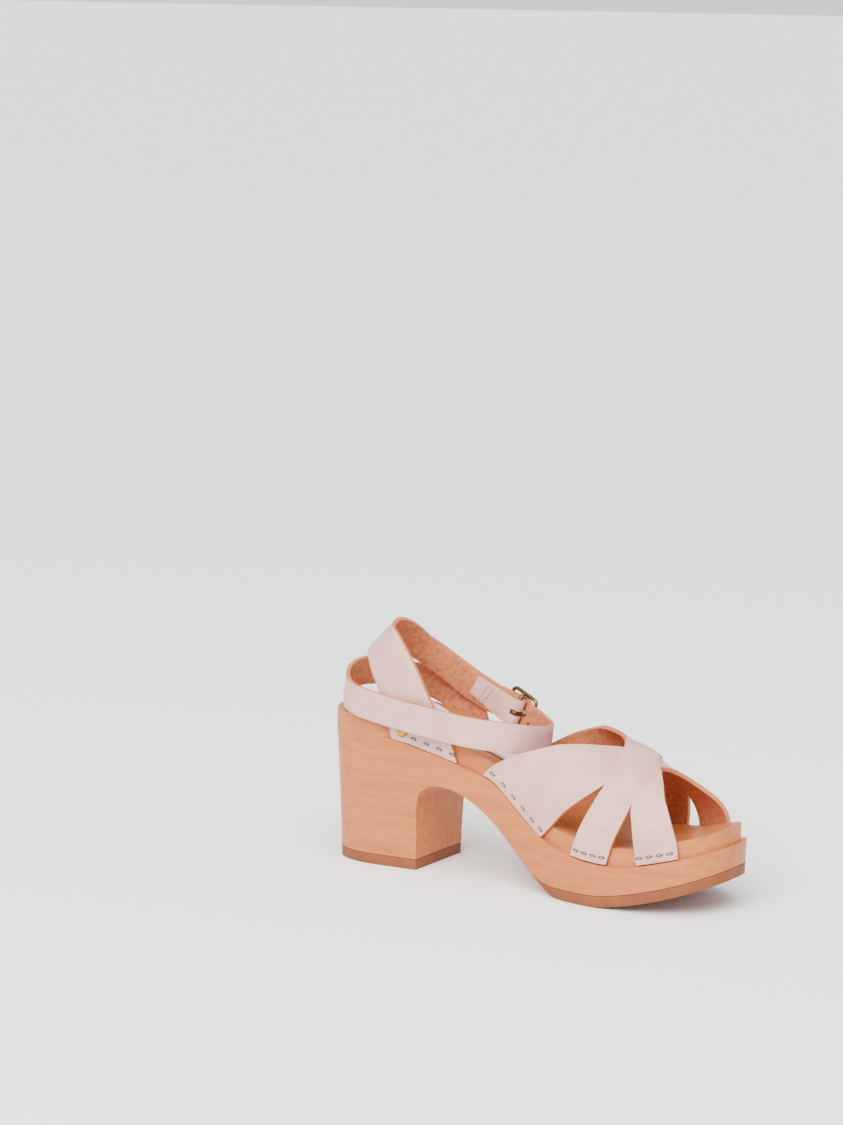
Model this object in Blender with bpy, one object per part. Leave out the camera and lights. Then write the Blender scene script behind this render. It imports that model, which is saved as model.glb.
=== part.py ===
"""Left sandal with a carved wooden sole, a block heel and a strap upper, in metres, +X to the toe, +Z up.

The wooden sole, its rubbers and its heel pad follow one outline, one footbed and one underside. The vamp
straps lie on a last whose sections grow out of that sole, and the two ankle straps run round the ankle from
tabs in the sole's rebate to one buckle on the outer side.
"""

import math

import bmesh
import bpy
import numpy as np
from mathutils import Vector

# Sole
SOLE_LENGTH = 0.2412
HEEL_BACK = -0.0292
HEEL_WIDTH = 0.0604
WAIST_WIDTH = 0.0603
BALL_WIDTH = 0.0873
HEEL_RIM = 0.0818
BALL_RIM = 0.0319
TOE_LIFT = 0.0133
OUTER_SIDE_DROP = 0.002
REBATE_WALL = 0.0093
REBATE_DEPTH = 0.003
DISH_DEPTH = 0.0022
RIM_LAND = 0.0035
HEEL_FRONT = 0.0293
HEEL_FRONT_LEAN = 0.0006
WAIST_WOOD = 0.0264
HEEL_TAPER = 0.0056
HEEL_BACK_DRAFT = 0.038
SIDE_DRAFT = 0.03

# Rubbers and pad
HEEL_LIFT = 0.0055
TREAD = 0.0057
TREAD_SPRING = 0.0185
PAD_THICKNESS = 0.0018
PAD_MARGIN = 0.0062

# Straps and hardware
LEATHER = 0.0022
INSTEP = 0.0545
ANKLE_REACH = 0.130
ANKLE_SPREAD = 0.0365
ANKLE_RISE = 0.050
TAB_REAR = 0.353
TAB_FRONT = 0.652
OUTER_TAB_FRONT = 0.575
STRAP_WIDTH = 0.016
FOLD_LENGTH = 0.028
TIP_LENGTH = 0.020
WIRE = 0.0022
PRONG_WIRE = 0.0018
FRAME_LENGTH = 0.018
FRAME_ROOM = 0.001
STUD_DIAMETER = 0.006
STUD_HEIGHT = 0.0028

# Fits
GAP = 0.0003
JOIN = 0.0005

MEDIAL = -1
LATERAL = 1
MEDIAL_SHARE_AT_WAIST = 0.468
MEDIAL_SHARE_AT_BALL = 0.515
HEEL_ARC_END = 0.142
TOE_ARC_START = {MEDIAL: 0.743, LATERAL: 0.702}
HEEL_ROUNDNESS = 2.3
HEEL_TAPER_CURVE = 1.65
WALL_SHARES = (0.0, 0.3, 0.6, 0.82)
TOE_ROUNDNESS = {MEDIAL: 2.9, LATERAL: 1.9}
TOE_POINT = -0.092

# along is a share of the sole's length. The others are shares of the way from heel width to waist width
# and to ball width.
SIDES = (
    # along, medial_waist, medial_ball, lateral_waist, lateral_ball
    (0.142, 0.00, 0.00, 0.00, 0.00),
    (0.287, 0.50, 0.00, 0.35, 0.00),
    (0.424, 1.00, 0.00, 1.00, 0.00),
    (0.494, 0.87, 0.13, 0.74, 0.26),
    (0.557, 0.64, 0.36, 0.44, 0.56),
    (0.610, 0.38, 0.62, 0.17, 0.83),
    (0.660, 0.18, 0.82, 0.03, 0.97),
    (0.702, 0.06, 0.94, 0.00, 1.00),
    (0.743, 0.00, 1.00, 0.00, 1.00),
)

# rise is a share of the heel rim's height over the ball rim, lift of the toe's lift, and drop of the
# outer side's drop.
FOOTBED = (
    # along, rise, lift, drop
    (0.000, 1.000, 0.000, 0.00),
    (0.080, 0.996, 0.000, 0.00),
    (0.142, 0.984, 0.000, 0.00),
    (0.196, 0.956, 0.000, 0.00),
    (0.266, 0.884, 0.000, 0.00),
    (0.349, 0.780, 0.000, 0.00),
    (0.436, 0.642, 0.000, 0.00),
    (0.494, 0.434, 0.000, 0.20),
    (0.536, 0.283, 0.000, 0.55),
    (0.577, 0.155, 0.000, 0.86),
    (0.610, 0.098, 0.000, 1.00),
    (0.635, 0.066, 0.000, 1.00),
    (0.660, 0.040, 0.000, 1.00),
    (0.702, 0.011, 0.000, 1.00),
    (0.743, 0.000, 0.000, 1.00),
    (0.785, 0.000, 0.018, 1.00),
    (0.818, 0.000, 0.100, 0.95),
    (0.847, 0.000, 0.228, 0.86),
    (0.876, 0.000, 0.364, 0.75),
    (0.909, 0.000, 0.523, 0.55),
    (0.950, 0.000, 0.742, 0.22),
    (0.979, 0.000, 0.894, 0.00),
    (1.000, 0.000, 1.000, 0.00),
)

# The underside from the heel's front to the flat under the ball. run is a share of that distance and
# height a share of the arch's height over the wood's flat.
ARCH = (
    # run, height
    (0.000, 0.680),
    (0.009, 0.800),
    (0.032, 0.890),
    (0.078, 0.957),
    (0.145, 0.997),
    (0.235, 0.985),
    (0.330, 0.925),
    (0.440, 0.800),
    (0.600, 0.545),
    (0.745, 0.260),
    (0.835, 0.110),
    (0.910, 0.035),
    (1.000, 0.000),
)
FLAT_START = 0.610
FLAT_END = 0.706
TREAD_BACK = 0.553
# The rubber's bevelled back end, from its thin edge to the flat: run is a share of that distance and
# height a share of the tread's thickness over the floor.
TREAD_BEVEL = (
    # run, height
    (0.26, 1.00),
    (0.52, 0.42),
    (0.78, 0.10),
)
TREAD_FLAT_START = 0.647

# Sections of the last: top is a share of the instep over the ball rim, centre of the ball's width, and
# the fullnesses are the exponents of its two quarter curves.
LAST = (
    # along, top, centre, medial_full, lateral_full
    (0.370, 1.321, 0.000, 4.00, 4.00),
    (0.453, 1.213, 0.000, 3.60, 3.60),
    (0.536, 1.103, 0.000, 3.00, 3.00),
    (0.585, 1.020, 0.000, 2.60, 2.60),
    (0.623, 0.940, 0.000, 2.35, 2.35),
    (0.660, 0.883, 0.000, 2.15, 2.10),
    (0.702, 0.822, 0.000, 2.05, 2.00),
    (0.747, 0.736, -0.034, 2.08, 1.93),
    (0.780, 0.673, -0.080, 2.10, 1.88),
    (0.826, 0.626, -0.137, 2.14, 1.80),
    (0.876, 0.588, -0.183, 2.18, 1.74),
    (0.933, 0.500, -0.206, 2.30, 1.70),
)

# Edges of the vamp straps: around is the share of the way from the medial edge of the sole to the
# lateral one, the others are shares of the sole's length.
UNDER_STRAP = (
    # around, rear, split_rear, split_front, front
    (0.000, 0.416, 0.498, 0.498, 0.581),
    (0.064, 0.441, 0.528, 0.528, 0.612),
    (0.127, 0.469, 0.559, 0.559, 0.642),
    (0.180, 0.495, 0.588, 0.588, 0.674),
    (0.253, 0.546, 0.630, 0.630, 0.716),
    (0.315, 0.593, 0.667, 0.667, 0.744),
    (0.374, 0.644, 0.706, 0.706, 0.769),
    (0.431, 0.694, 0.742, 0.742, 0.787),
    (0.487, 0.724, 0.763, 0.763, 0.800),
    (0.553, 0.737, 0.775, 0.775, 0.810),
    (0.619, 0.741, 0.782, 0.782, 0.822),
    (0.695, 0.738, 0.790, 0.790, 0.843),
    (0.786, 0.723, 0.794, 0.794, 0.877),
    (0.851, 0.706, 0.787, 0.806, 0.892),
    (0.920, 0.685, 0.782, 0.814, 0.901),
    (1.000, 0.665, 0.776, 0.818, 0.900),
)
OVER_STRAP = (
    # around, rear, split_rear, split_front, front
    (0.000, 0.665, 0.755, 0.826, 0.913),
    (0.086, 0.683, 0.770, 0.818, 0.909),
    (0.156, 0.701, 0.786, 0.810, 0.898),
    (0.235, 0.720, 0.798, 0.798, 0.880),
    (0.271, 0.728, 0.798, 0.798, 0.869),
    (0.356, 0.731, 0.787, 0.787, 0.846),
    (0.422, 0.724, 0.772, 0.772, 0.821),
    (0.488, 0.704, 0.747, 0.747, 0.792),
    (0.552, 0.667, 0.714, 0.714, 0.772),
    (0.620, 0.618, 0.677, 0.677, 0.752),
    (0.700, 0.564, 0.640, 0.640, 0.733),
    (0.761, 0.524, 0.612, 0.612, 0.712),
    (0.821, 0.490, 0.588, 0.588, 0.684),
    (0.883, 0.462, 0.556, 0.556, 0.646),
    (0.945, 0.437, 0.528, 0.528, 0.615),
    (1.000, 0.420, 0.502, 0.502, 0.584),
)
SPLIT_APEX = {"under": 0.786, "over": 0.235}
CROSSING_RAMP = 0.050
EDGE_FLARE = 0.0022

# Centre lines of the ankle straps over their tabs: along is a share of the ankle's reach in front of the
# heel's back, out of its spread, up of its rise over the footbed's rim, width of the strap's width.
BUCKLE_STRAP = (
    # along, out, up, width, lean
    (0.413, -0.830, 0.323, 1.745, 0.72),
    (0.363, -0.789, 0.520, 1.690, 0.76),
    (0.294, -0.660, 0.702, 1.550, 0.78),
    (0.229, -0.400, 0.790, 1.300, 0.78),
    (0.201, 0.000, 0.837, 1.220, 0.76),
    (0.212, 0.381, 0.755, 1.150, 0.74),
    (0.243, 0.674, 0.607, 1.030, 0.70),
    (0.297, 0.811, 0.502, 1.000, 0.64),
    (0.370, 0.820, 0.416, 1.000, 0.58),
    (0.473, 0.775, 0.336, 1.040, 0.52),
    (0.588, 0.730, 0.286, 1.010, 0.47),
    (0.697, 0.685, 0.244, 0.950, 0.43),
)
TIP_STRAP = (
    # along, out, up, width, lean
    (0.371, 1.038, 0.185, 1.300, 0.38),
    (0.276, 1.055, 0.196, 1.050, 0.30),
    (0.166, 0.879, 0.228, 1.000, 0.22),
    (0.078, 0.559, 0.300, 1.000, 0.17),
    (0.046, 0.140, 0.325, 1.000, 0.15),
    (0.052, -0.279, 0.275, 1.000, 0.13),
    (0.101, -0.600, 0.205, 1.000, 0.10),
    (0.196, -0.885, 0.170, 1.000, 0.06),
    (0.316, -0.951, 0.141, 1.000, 0.04),
    (0.446, -0.986, 0.154, 1.000, 0.02),
    (0.586, -0.986, 0.202, 1.000, 0.02),
    (0.716, -0.951, 0.227, 1.000, 0.03),
    (0.832, -0.836, 0.197, 1.000, 0.03),
    (0.904, -0.603, 0.159, 1.000, 0.03),
    (0.945, -0.329, 0.119, 1.000, 0.03),
    (0.956, -0.068, 0.095, 1.000, 0.05),
    (0.942, 0.151, 0.087, 1.000, 0.10),
    (0.901, 0.345, 0.091, 1.000, 0.18),
    (0.854, 0.499, 0.103, 1.000, 0.30),
)


def columns(table):
    """The table's columns as arrays, in the order of its heading."""
    return [np.array(column, dtype=float) for column in zip(*table)]


def slopes(xs, ys):
    """Slopes of a curve through the points that never overshoots them."""
    step = np.diff(xs)
    rise = np.diff(ys) / step
    slope = np.empty(len(xs))
    slope[0] = rise[0]
    slope[-1] = rise[-1]
    for k in range(1, len(xs) - 1):
        before = 2 * step[k] + step[k - 1]
        after = step[k] + 2 * step[k - 1]
        if rise[k - 1] * rise[k] > 0:
            slope[k] = (before + after) / (before / rise[k - 1] + after / rise[k])
        else:
            slope[k] = 0.0
    return slope


def smooth(xs, ys, x):
    """The value at x of a smooth curve through the points, held level past its ends."""
    slope = slopes(xs, ys)
    x = min(max(x, xs[0]), xs[-1])
    k = min(max(int(np.searchsorted(xs, x, side="right")) - 1, 0), len(xs) - 2)
    step = xs[k + 1] - xs[k]
    t = (x - xs[k]) / step
    start = ys[k] * (1 + 2 * t) * (1 - t) ** 2 + slope[k] * step * t * (1 - t) ** 2
    end = ys[k + 1] * t * t * (3 - 2 * t) + slope[k + 1] * step * t * t * (t - 1)
    return float(start + end)


def ease(t):
    """0 before 0, 1 after 1 and a soft step between them."""
    t = min(max(t, 0.0), 1.0)
    return t * t * (3 - 2 * t)


def x_at(along):
    """The place along the shoe of a share of the sole's length."""
    return HEEL_BACK + along * SOLE_LENGTH


def along_at(x):
    """The share of the sole's length at x."""
    return (x - HEEL_BACK) / SOLE_LENGTH


SIDE_COLUMNS = columns(SIDES)
BED_COLUMNS = columns(FOOTBED)
ARCH_COLUMNS = columns(ARCH)
LAST_COLUMNS = columns(LAST)
UNDER_COLUMNS = columns(UNDER_STRAP)
OVER_COLUMNS = columns(OVER_STRAP)


def half_width(x, side):
    """The sole's width from its middle line to one side at x."""
    along = along_at(x)
    heel = HEEL_WIDTH / 2
    waist_share = MEDIAL_SHARE_AT_WAIST if side == MEDIAL else 1 - MEDIAL_SHARE_AT_WAIST
    ball_share = MEDIAL_SHARE_AT_BALL if side == MEDIAL else 1 - MEDIAL_SHARE_AT_BALL
    waist = WAIST_WIDTH * waist_share
    ball = BALL_WIDTH * ball_share
    if along < HEEL_ARC_END:
        t = min((HEEL_ARC_END - along) / HEEL_ARC_END, 1.0)
        return heel * (1 - t ** HEEL_ROUNDNESS) ** (1 / HEEL_ROUNDNESS)
    start = TOE_ARC_START[side]
    if along > start:
        t = min((along - start) / (1 - start), 1.0)
        point = TOE_POINT * BALL_WIDTH * side
        round_part = (1 - t ** TOE_ROUNDNESS[side]) ** (1 / TOE_ROUNDNESS[side])
        return point + (ball - point) * round_part
    offset = 1 if side == MEDIAL else 3
    to_waist = smooth(SIDE_COLUMNS[0], SIDE_COLUMNS[offset], along)
    to_ball = smooth(SIDE_COLUMNS[0], SIDE_COLUMNS[offset + 1], along)
    return heel * (1 - to_waist - to_ball) + waist * to_waist + ball * to_ball


def rim_height(x, side):
    """The height of the footbed's rim at x, on one side."""
    along = along_at(x)
    rise = smooth(BED_COLUMNS[0], BED_COLUMNS[1], along) * (HEEL_RIM - BALL_RIM)
    lift = smooth(BED_COLUMNS[0], BED_COLUMNS[2], along) * TOE_LIFT
    drop = smooth(BED_COLUMNS[0], BED_COLUMNS[3], along) * OUTER_SIDE_DROP
    return BALL_RIM + rise + lift - (drop if side == LATERAL else 0.0)


def rebate(x):
    """How far the rebate that takes the straps is cut into the sole's side at x."""
    return REBATE_DEPTH * ease((x - x_at(0.155)) / (0.05 * SOLE_LENGTH))


def wall_y(x, side):
    """The rebated side of the sole at x, measured from its middle line."""
    return half_width(x, side) - rebate(x)


def footbed_height(x, y):
    """The height of the dished footbed at a point inside its rim."""
    medial = -wall_y(x, MEDIAL)
    lateral = wall_y(x, LATERAL)
    share = (y - medial) / max(lateral - medial, 1e-6)
    level = rim_height(x, MEDIAL) * (1 - share) + rim_height(x, LATERAL) * share
    spread = 0.016
    across = ease((min(y - medial, lateral - y) - RIM_LAND) / spread)
    ends = ease((min(x - HEEL_BACK, x_at(1) - x) - RIM_LAND - REBATE_DEPTH) / spread)
    return level - DISH_DEPTH * across * ends


def wood_flat():
    """The height of the wood's flat underside over the forefoot rubber."""
    return TREAD + GAP


def arch_outline():
    """The wood's underside from the heel's front corner to the flat under the ball, as (x, z)."""
    start = HEEL_FRONT
    end = x_at(FLAT_START)
    crown_x = start + 0.15 * (end - start)
    crown = rim_height(crown_x, MEDIAL) - WAIST_WOOD
    base = wood_flat()
    corner = (start, HEEL_LIFT + GAP)
    runs, heights = ARCH_COLUMNS
    xs = [start + HEEL_FRONT_LEAN + run * (end - start - HEEL_FRONT_LEAN) for run in runs]
    zs = [base + height * (crown - base) for height in heights]
    points = [corner, (xs[0], zs[0])]
    # The crown is a loop of a curve that turns back on itself, so it is run by its own length.
    lengths = np.concatenate([[0.0], np.cumsum(np.hypot(np.diff(xs), np.diff(zs)))])
    for length in np.linspace(0, lengths[-1], 31)[1:]:
        points.append((smooth(lengths, np.array(xs), length), smooth(lengths, np.array(zs), length)))
    return points


def spring_height(x):
    """How far the underside has risen towards the toe at x."""
    run = (x - x_at(FLAT_END)) / (x_at(1) - x_at(FLAT_END))
    return TREAD_SPRING * max(run, 0.0) ** 1.55


def underside():
    """The wood's whole underside, from behind the heel to past the toe, as (x, z)."""
    points = [(HEEL_BACK - 0.02, HEEL_LIFT + GAP)]
    points += arch_outline()
    for along in np.linspace(FLAT_END, 1.06, 15):
        points.append((x_at(along), wood_flat() + spring_height(x_at(along))))
    return points


def tread_outline():
    """The forefoot rubber's side, as a closed (x, z) outline."""
    top = [(x, z - GAP) for x, z in underside() if x > x_at(TREAD_BACK)]
    back_x = x_at(TREAD_BACK)
    profile = underside()
    xs = [x for x, _ in profile[3:]]
    zs = [z for _, z in profile[3:]]
    back_z = float(np.interp(back_x, xs, zs)) - GAP
    bottom = [(x_at(along), spring_height(x_at(along))) for along in np.linspace(1.06, FLAT_END, 15)]
    flat_start = x_at(TREAD_FLAT_START)
    bottom.append((flat_start, 0.0))
    for run, height in reversed(TREAD_BEVEL):
        bottom.append((back_x + run * (flat_start - back_x), height * TREAD))
    return [(back_x, back_z)] + top + bottom


def stations():
    """Places along the sole, closer together at its round ends."""
    heel = [HEEL_ARC_END * (1 - math.cos(math.radians(angle))) for angle in np.linspace(0, 90, 10)]
    middle = list(np.linspace(HEEL_ARC_END, TOE_ARC_START[LATERAL], 24))[1:-1]
    toe_run = 1 - TOE_ARC_START[LATERAL]
    toe = [TOE_ARC_START[LATERAL] + toe_run * math.sin(math.radians(angle)) for angle in np.linspace(0, 90, 14)]
    return [x_at(along) for along in heel + middle + toe]


def outline_normal(x, side):
    """The direction out of the sole's outline at x, level with the floor."""
    reach = 0.0004
    if x - HEEL_BACK < reach / 100:
        return Vector((-1.0, 0.0, 0.0))
    if x_at(1) - x < reach / 100:
        return Vector((1.0, 0.0, 0.0))
    low = max(x - reach, HEEL_BACK)
    high = min(x + reach, x_at(1))
    slope = (half_width(high, side) - half_width(low, side)) / (high - low)
    return Vector((-slope, side, 0.0)).normalized()


def drafted(x, side, height):
    """The point of the sole's lower side at x and a height, drawn in below the rebate's ledge."""
    ledge = rim_height(x, side) - REBATE_WALL
    towards_heel = ease((0.42 - along_at(x)) / 0.14)
    normal = outline_normal(x, side)
    depth = ledge - height
    taper = HEEL_TAPER * (1 - max(1 - depth / ledge, 0.0) ** HEEL_TAPER_CURVE)
    inset_y = SIDE_DRAFT * depth * (1 - towards_heel) + taper * towards_heel
    inset_x = depth * (SIDE_DRAFT + (HEEL_BACK_DRAFT - SIDE_DRAFT) * towards_heel)
    place_x = x - normal.x * inset_x
    place_y = side * half_width(x, side) - normal.y * inset_y
    return Vector((place_x, place_y, height))


def mesh_object(name, vertices, faces):
    """A new object whose mesh has these faces, all turned outwards."""
    mesh = bpy.data.meshes.new(name)
    mesh.from_pydata([tuple(vertex) for vertex in vertices], [], faces)
    shape = bmesh.new()
    shape.from_mesh(mesh)
    bmesh.ops.remove_doubles(shape, verts=shape.verts, dist=1e-7)
    bmesh.ops.recalc_face_normals(shape, faces=shape.faces)
    shape.to_mesh(mesh)
    shape.free()
    item = bpy.data.objects.new(name, mesh)
    bpy.context.scene.collection.objects.link(item)
    return item


def finish(item, colour, roughness, metallic=0.0):
    """Gives the object its material and smooth shading with sharp edges."""
    material = bpy.data.materials.new(item.name)
    material.use_nodes = True
    shader = material.node_tree.nodes["Principled BSDF"]
    shader.inputs["Base Color"].default_value = (*colour, 1.0)
    shader.inputs["Roughness"].default_value = roughness
    shader.inputs["Metallic"].default_value = metallic
    item.data.materials.append(material)
    item.data.shade_smooth()
    item.data.set_sharp_from_angle(angle=math.radians(35))
    return item


def as_guide(item):
    """Marks an object that only cuts or joins another one."""
    item.hide_render = True
    item.display_type = "WIRE"
    return item


def boolean(item, other, operation):
    """Adds an exact boolean with another object."""
    modifier = item.modifiers.new(operation.title(), "BOOLEAN")
    modifier.operation = operation
    modifier.solver = "EXACT"
    modifier.object = other


def grid_faces(rows, count, closed=False):
    """Faces between neighbouring rows of count vertices, numbered row by row."""
    faces = []
    across = count if closed else count - 1
    for row in range(rows - 1):
        for k in range(across):
            after = (k + 1) % count
            faces.append((row * count + k, row * count + after, (row + 1) * count + after, (row + 1) * count + k))
    return faces


def sole_block(name, foot):
    """The whole sole from foot, below the floor, up to its rim and dished footbed."""
    places = stations()
    shares = (0.05, 0.12, 0.22, 0.35, 0.5, 0.65, 0.78, 0.88, 0.95)
    rings = []
    for x in places:
        section = []
        for side in (MEDIAL, LATERAL):
            ledge = rim_height(x, side) - REBATE_WALL
            normal = outline_normal(x, side)
            outer = drafted(x, side, ledge)
            cut = rebate(x)
            inner = outer - normal * cut
            rim = rim_height(inner.x, side)
            inner.z = rim - REBATE_WALL + 0.003 * (1 - cut / REBATE_DEPTH)
            top = Vector((inner.x, inner.y, rim))
            lower = [drafted(x, side, foot + share * (ledge - foot)) for share in WALL_SHARES]
            section.append(lower + [outer, inner, top])
        medial, lateral = section
        bed = []
        for share in shares:
            point = medial[-1].lerp(lateral[-1], share)
            point.z = footbed_height(point.x, point.y)
            bed.append(point)
        rings.append(medial + bed + lateral[::-1])
    count = len(rings[0])
    vertices = [vertex for ring in rings for vertex in ring]
    faces = grid_faces(len(rings), count, closed=True)
    return mesh_object(name, vertices, faces)


def prism(name, outline, half):
    """An (x, z) outline drawn out to both sides of the middle plane."""
    count = len(outline)
    vertices = [(x, -half, z) for x, z in outline] + [(x, half, z) for x, z in outline]
    faces = grid_faces(2, count, closed=True)
    faces.append(tuple(range(count)))
    faces.append(tuple(range(2 * count - 1, count - 1, -1)))
    return as_guide(mesh_object(name, vertices, faces))


def make_sole():
    """The wooden sole with its block heel, tunnel and rebate, and its two rubbers."""
    foot = -0.004
    half = BALL_WIDTH
    wood = sole_block("wood_sole", foot)
    under = underside()
    below = [(under[-1][0], foot - 0.01), (under[0][0], foot - 0.01)]
    boolean(wood, prism("under_cutter", under + below, half), "DIFFERENCE")
    finish(wood, (0.62, 0.36, 0.19), 0.55)

    outsole = sole_block("forefoot_outsole", foot)
    boolean(outsole, prism("tread_slice", tread_outline(), half), "INTERSECT")
    finish(outsole, (0.36, 0.18, 0.10), 0.7)

    lift = sole_block("heel_lift", foot)
    back = HEEL_BACK - 0.02
    slab = [(back, 0.0), (HEEL_FRONT, 0.0), (HEEL_FRONT, HEEL_LIFT), (back, HEEL_LIFT)]
    boolean(lift, prism("lift_slice", slab, half), "INTERSECT")
    finish(lift, (0.33, 0.16, 0.09), 0.7)


def make_heel_pad():
    """The thin pad on the heel of the footbed, with a tongue into the waist."""
    start = x_at(0) + PAD_MARGIN
    end = x_at(0.49)
    rows = []
    for share in (1 - np.cos(np.linspace(0, np.pi, 30))) / 2:
        x = start + float(share) * (end - start)
        heel_end = (1 - (1 - min(share / 0.27, 1)) ** 2.1) ** (1 / 2.1)
        tongue = 1 - 0.48 * ease((share - 0.2) / 0.35)
        tongue_end = (1 - max((share - 0.86) / 0.14, 0.0) ** 2.2) ** (1 / 2.2)
        half = (HEEL_WIDTH / 2 - PAD_MARGIN) * heel_end * tongue * max(tongue_end, 0.02)
        rows.append((x, max(half, 0.0008)))
    vertices = []
    for level in (2 * GAP, 2 * GAP + PAD_THICKNESS):
        for x, half in rows:
            for share in np.linspace(-1, 1, 7):
                y = half * float(share)
                vertices.append((x, y, footbed_height(x, y) + level))
    count = 7
    layer = len(rows) * count
    faces = grid_faces(len(rows), count)
    faces += [tuple(layer + k for k in face) for face in grid_faces(len(rows), count)]
    border = list(range(count)) + [row * count + count - 1 for row in range(1, len(rows))]
    border += [(len(rows) - 1) * count + k for k in range(count - 2, -1, -1)]
    border += [row * count for row in range(len(rows) - 2, 0, -1)]
    for k, vertex in enumerate(border):
        after = border[(k + 1) % len(border)]
        faces.append((vertex, after, layer + after, layer + vertex))
    return finish(mesh_object("heel_pad", vertices, faces), (0.85, 0.85, 0.84), 0.6)


def last_section(x):
    """The last's section at x from the medial ledge to the lateral one, as arrays of y, z and length."""
    along = along_at(x)
    top = BALL_RIM + INSTEP * smooth(LAST_COLUMNS[0], LAST_COLUMNS[1], along)
    centre = BALL_WIDTH * smooth(LAST_COLUMNS[0], LAST_COLUMNS[2], along)
    turn = np.linspace(0, math.pi / 2, 28)
    halves = []
    for side in (MEDIAL, LATERAL):
        full = smooth(LAST_COLUMNS[0], LAST_COLUMNS[3 if side == MEDIAL else 4], along)
        wall = side * (wall_y(x, side) + GAP)
        rim = rim_height(x, side)
        y = centre + (wall - centre) * np.cos(turn) ** (2 / full)
        z = rim + (top - rim) * np.sin(turn) ** (2 / full)
        halves.append((np.concatenate([[wall], y]), np.concatenate([[rim - REBATE_WALL + 3 * GAP], z])))
    y = np.concatenate([halves[0][0], halves[1][0][::-1][1:]])
    z = np.concatenate([halves[0][1], halves[1][1][::-1][1:]])
    length = np.concatenate([[0.0], np.cumsum(np.hypot(np.diff(y), np.diff(z)))])
    return y, z, length


def on_last(x, around, raised=0.0):
    """The point of the last at x and a share of the way round it, raised off its surface."""
    y, z, length = last_section(x)
    place = around * length[-1]
    reach = 0.0012
    before = max(place - reach, 0.0)
    after = min(place + reach, length[-1])
    run_y = np.interp(after, length, y) - np.interp(before, length, y)
    run_z = np.interp(after, length, z) - np.interp(before, length, z)
    size = math.hypot(run_y, run_z)
    point_y = float(np.interp(place, length, y)) - raised * float(run_z) / size
    point_z = float(np.interp(place, length, z)) + raised * float(run_y) / size
    return Vector((x, point_y, point_z))


def over_lift(along, around, share):
    """How far the upper vamp strap is lifted off the last, to pass over the lower one."""
    rear = smooth(UNDER_COLUMNS[0], UNDER_COLUMNS[1], around)
    front = smooth(UNDER_COLUMNS[0], UNDER_COLUMNS[4], around)
    distance = max(rear - along, along - front, 0.0)
    near_base = ease(min(around, 1 - around) / 0.14)
    flare = EDGE_FLARE * ease(1 - share / 0.35) * ease(1 - abs(around - 0.5) / 0.16)
    return (LEATHER - JOIN) * ease(1 - distance / CROSSING_RAMP) * near_base + flare


def vamp_sheet(name, table, apex, lift):
    """One vamp strap as an open sheet on the last, split into two ends past its apex."""
    arounds = table[0]
    split_low = apex < 0.5
    outer = np.linspace(0, apex, 8) if split_low else np.linspace(0, apex, 26)
    inner = np.linspace(apex, 1, 26) if split_low else np.linspace(apex, 1, 8)
    rows = list(outer) + list(inner)[1:]
    parts = 6
    vertices = []
    faces = []
    index = {}
    for half in (0, 1):
        for row, around in enumerate(rows):
            open_row = around < apex - 1e-9 if split_low else around > apex + 1e-9
            rear, split_rear, split_front, front = (smooth(arounds, column, around) for column in table[1:])
            middle = (split_rear + split_front) / 2
            ends = (rear, split_rear if open_row else middle)
            if half:
                ends = (split_front if open_row else middle, front)
            for k in range(parts + 1):
                shared = half and k == 0 and not open_row
                if shared:
                    index[half, row, k] = index[0, row, parts]
                    continue
                along = ends[0] + (ends[1] - ends[0]) * k / parts
                share = (along - rear) / (front - rear)
                raised = lift(along, around, share)
                index[half, row, k] = len(vertices)
                vertices.append(on_last(x_at(along), around, raised))
        for row in range(len(rows) - 1):
            for k in range(parts):
                corners = [(row, k), (row, k + 1), (row + 1, k + 1), (row + 1, k)]
                faces.append(tuple(index[half, r, c] for r, c in corners))
    return mesh_object(name, vertices, faces)


def thicken(item, inward_point):
    """Gives an open sheet its leather's thickness on the side away from a point."""
    face = item.data.polygons[len(item.data.polygons) // 2]
    outward = face.normal.dot(face.center - Vector(inward_point)) > 0
    modifier = item.modifiers.new("Leather", "SOLIDIFY")
    modifier.thickness = LEATHER
    modifier.offset = 1.0 if outward else -1.0
    modifier.use_even_offset = True


def make_vamp():
    """The two crossing vamp straps, joined where they cross."""
    inside = (x_at(0.7), 0.0, BALL_RIM + INSTEP / 3)
    under = vamp_sheet("vamp_straps", UNDER_COLUMNS, SPLIT_APEX["under"], lambda *_: 0.0)
    over = as_guide(vamp_sheet("over_strap", OVER_COLUMNS, SPLIT_APEX["over"], over_lift))
    thicken(under, inside)
    thicken(over, inside)
    boolean(under, over, "UNION")
    return finish(under, (0.75, 0.62, 0.58), 0.5)


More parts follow.
